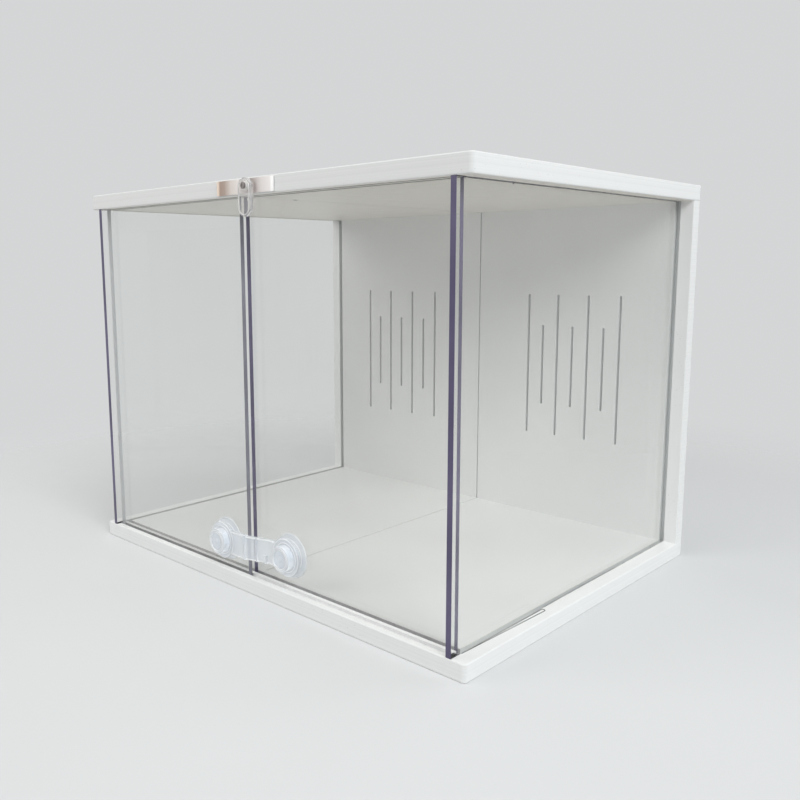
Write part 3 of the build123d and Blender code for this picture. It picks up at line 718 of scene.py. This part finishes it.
# %% [markdown]
# Each pad of the lock has raised rings: two on the cup's flare, two on the strap's round end and two on
# the knob's face, with a small dome in the middle where the mould was fed. The rings catch the light,
# and they are made whiter with a painted highlight. All their places follow from the boxes of the cup
# and the knob.

# %% Rings of the lock
CUP_RINGS = ((mm(17.5), mm(2.9)), (mm(23.8), mm(1.4)))
HEAD_FRONT = mm(10.3)
HEAD_RINGS = (mm(20.2), mm(16.0))
KNOB_RINGS = (mm(12.3), mm(10.6))
RING_BEAD = mm(0.45)
KNOB_DISH = mm(1.2)
DOME_PROFILE = ((mm(3.4), 0.0), (mm(3.0), mm(0.55)), (mm(2.0), mm(0.9)), (mm(0.9), mm(1.0)))
SIDES = {"left": ("lock", left_door_low.y), "right": ("lock_flap", right_door_low.y)}

pad_centres = {}
for side, (body, door_y) in SIDES.items():
    low, high = (Vector(corner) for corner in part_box(f"lock_{side}_cup"))
    pad = (low + high) / 2
    knob_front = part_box(f"lock_{side}_knob")[0][1]
    pad_centres[side] = pad
    rings = [(radius, door_y - height) for radius, height in CUP_RINGS]
    rings += [(radius, door_y - HEAD_FRONT) for radius in HEAD_RINGS]
    rings += [(radius, knob_front) for radius in KNOB_RINGS]
    for number, (radius, y) in enumerate(rings):
        points = ring_points(Vector((pad.x, y, pad.z)), radius)
        bead(f"lock_{side}_ring_{number}", points, RING_BEAD, painted_highlight_plastic, body, closed=True)
    dish_middle = Vector((pad.x, knob_front + KNOB_DISH, pad.z))
    turned(f"lock_{side}_feed_dome", dish_middle, DOME_PROFILE, lock_plastic, body)
print("pads at", {side: [round(v, 4) for v in pad] for side, pad in pad_centres.items()})

# %% [markdown]
# The strap is stiffened by a bead along its upper and its lower edge. On the left half the beads are
# straight. On the right half they step back with the strap, because the right door runs further in.

# %% Ribs of the strap
STRAP_HALF_WIDTH = mm(13.5)
HEAD_RADIUS = mm(21.5)
STRAP_STRAIGHT = mm(4.5)
RIB_INSET = mm(0.9)
RIB_BEAD = mm(0.7)
CREASE_REACH = mm(2.4)
RIB_GAP, RIB_SETBACK = mm(2), mm(0.4)

left_strap_end_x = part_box("lock_strap_left")[1][0]
hinge_x = left_strap_end_x + CREASE_REACH
slope_end_x = pad_centres["right"].x - HEAD_RADIUS - STRAP_STRAIGHT
head_reach = math.sqrt(HEAD_RADIUS ** 2 - STRAP_HALF_WIDTH ** 2)
left_head_end_x = pad_centres["left"].x + head_reach
left_front_y = left_door_low.y - HEAD_FRONT
right_front_y = right_door_low.y - HEAD_FRONT
lock_z = pad_centres["left"].z
for edge, sign in (("upper", 1), ("lower", -1)):
    z = lock_z + sign * (STRAP_HALF_WIDTH - RIB_INSET)
    left_line = [(left_head_end_x, left_front_y, z), (left_strap_end_x - RIB_BEAD, left_front_y, z)]
    right_line = [(hinge_x + RIB_GAP, left_front_y + RIB_SETBACK, z), (slope_end_x, right_front_y, z),
                  (pad_centres["right"].x - head_reach, right_front_y, z)]
    # the ribs use the whiter plastic with a painted highlight
    bead(f"lock_strap_left_{edge}_rib", left_line, RIB_BEAD, painted_highlight_plastic, "lock")
    bead(f"lock_strap_right_{edge}_rib", right_line, RIB_BEAD, painted_highlight_plastic, "lock_flap")
print("strap ribs from x", round(left_line[0][0], 4), "to", round(right_line[-1][0], 4))

# %% [markdown]
# The turn button is cut from thick clear sheet. A step runs around its rim and a small ring stands
# around the pivot screw, both whiter with a painted highlight. Both ride on the button.

# %% Turn button
STEP_INSET = mm(1.7)
STEP_BEAD = mm(0.45)
PIVOT_RING = mm(4.6)

button_low, button_high = (Vector(corner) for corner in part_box("latch_button"))
screw_low, screw_high = (Vector(corner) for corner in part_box("latch_screw"))
button_radius = (button_high.x - button_low.x) / 2
step_radius = button_radius - STEP_INSET
button_x = (button_low.x + button_high.x) / 2
pivot_z = (screw_low.z + screw_high.z) / 2
capsule = []
for step in range(CIRCLE_STEPS + 1):
    angle = math.tau * step / CIRCLE_STEPS
    middle_z = button_high.z - button_radius if math.sin(angle) >= 0 else button_low.z + button_radius
    across, along = step_radius * math.cos(angle), step_radius * math.sin(angle)
    capsule.append((button_x + across, button_low.y, middle_z + along))
bead("latch_button_step", capsule, STEP_BEAD, painted_highlight_plastic, "turn_button", closed=True)
pivot = Vector((button_x, button_low.y, pivot_z))
bead("latch_button_pivot_ring", ring_points(pivot, PIVOT_RING), STEP_BEAD, painted_highlight_plastic, "turn_button",
     closed=True)
print("button pivot at z", round(pivot_z, 4))

# %% [markdown]
# The end panes are cemented into the boards, which shows as a thin pale line along the foot and the
# head of each pane. Along the right pane's head the line is dark grey instead: painted shade of the
# groove. At the right pane's foot the glue has run out over the board: a flat wedge opens slowly from
# the front corner and ends in a round tip, and only its dark rim shows. Behind it a dark grey band runs
# along the pane's foot and breaks into chips. Dark strokes along the head are painted shade of the
# groove as well, in the same dark grey. Each band, chip and stroke is a thin film on the pane, drawn by
# its height at a few places along Y.

# %% Cement at the end panes
CEMENT_BEAD = mm(0.3)
SEAM_SETBACK = mm(2)
SEAM_FILM_DARK, SEAM_FILM_LIGHT = (0.24, 0.24, 0.25, 1), (0.46, 0.46, 0.47, 1)
CLEAN_DARK, CLEAN_LIGHT = (0.66, 0.65, 0.60, 1), (0.84, 0.83, 0.78, 1)
FILM_OFF_PANE = mm(0.06)
FOOT_DARK_BAND = ((-72, 0.6), (-60, 1.4), (0, 1.7), (60, 1.5), (76, 1.0), (84, 0.3))
WEDGE_START_Y, WEDGE_END_Y = mm(-209), mm(-78)
WEDGE_WIDTH = mm(4.2)
WEDGE_OFF_PANE = mm(0.6)
WEDGE_BEAD = mm(0.5)
RIM_DARK, RIM_LIGHT = (0.06, 0.06, 0.065, 1), (0.15, 0.15, 0.16, 1)
TIP_STEPS = 9
FOOT_CHIPS = ((96, 104, 1.6), (118, 122, 1.2), (140, 149, 1.4), (170, 173, 1.0))
HEAD_SHADE_STROKES = ((-146, -140, 2.2), (-79, -30, 1.3), (-22, 69, 1.1), (84, 97, 0.8))

# dark grey film: painted shade of the groove along the right pane's head, and a dark band with chips at its
# foot
cement = solid_finish("cement", SEAM_FILM_DARK, SEAM_FILM_LIGHT, 180.0, 0.5)
clean_cement = solid_finish("clean_cement", CLEAN_DARK, CLEAN_LIGHT, 180.0, 0.4)
dark_rim = solid_finish("dark_cement_rim", RIM_DARK, RIM_LIGHT, 180.0, 0.5)
panel_front_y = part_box("back_panel")[0][1]
seam_start_y = right_door_high.y + SEAM_SETBACK
for side, sign in (("left", -1), ("right", 1)):
    for face, x in (("inner", pane_low.x), ("outer", pane_high.x)):
        for end, z in (("foot", floor_z), ("head", ceiling_z)):
            # the right pane's head line is dark grey: painted shade of the groove
            look = cement if side == "right" and end == "head" else clean_cement
            line = [(sign * x, seam_start_y, z), (sign * x, panel_front_y - CEMENT_BEAD, z)]
            bead(f"{side}_pane_{face}_{end}_cement", line, CEMENT_BEAD, look, "cabinet")


def dark_film(name, heights, seam_z, direction):
    """A film on the right pane's outer face: heights has (y, height) in millimetres."""
    x = pane_high.x + FILM_OFF_PANE
    seam = [(x, mm(y), seam_z) for y, _ in heights]
    free = [(x, mm(y), seam_z + direction * mm(height)) for y, height in heights]
    count = len(heights)
    faces = [(i, i + 1, count + i + 1, count + i) for i in range(count - 1)]
    mesh = bpy.data.meshes.new(name)
    mesh.from_pydata(seam + free, [], faces)
    place_piece(bpy.data.objects.new(name, mesh), cement, "cabinet")


def chip_outline(start, end, height):
    """The heights of a chip that is full in its middle and thin at both ends."""
    middle = (start + end) / 2
    return ((start, 0.1 * height), ((start + middle) / 2, 0.8 * height), (middle, height),
            ((middle + end) / 2, 0.7 * height), (end, 0.1 * height))


wedge_inner_x = pane_high.x + WEDGE_OFF_PANE
tip_radius = WEDGE_WIDTH / 2
wedge_rim = [(wedge_inner_x, WEDGE_START_Y, floor_z)]
for step in range(TIP_STEPS):
    angle = math.pi * step / (TIP_STEPS - 1)
    wedge_rim.append((wedge_inner_x + tip_radius * (1 - math.cos(angle)),
                      WEDGE_END_Y + tip_radius * math.sin(angle), floor_z))
bead("right_pane_foot_wedge", wedge_rim, WEDGE_BEAD, dark_rim, "cabinet", closed=True)
dark_film("right_pane_foot_dark_band", FOOT_DARK_BAND, floor_z, 1)
for number, chip in enumerate(FOOT_CHIPS):
    dark_film(f"right_pane_foot_chip_{number}", chip_outline(*chip), floor_z, 1)
# painted shade of the groove along the right pane's head
for number, stroke in enumerate(HEAD_SHADE_STROKES):
    dark_film(f"right_pane_head_stroke_{number}", chip_outline(*stroke), ceiling_z, -1)
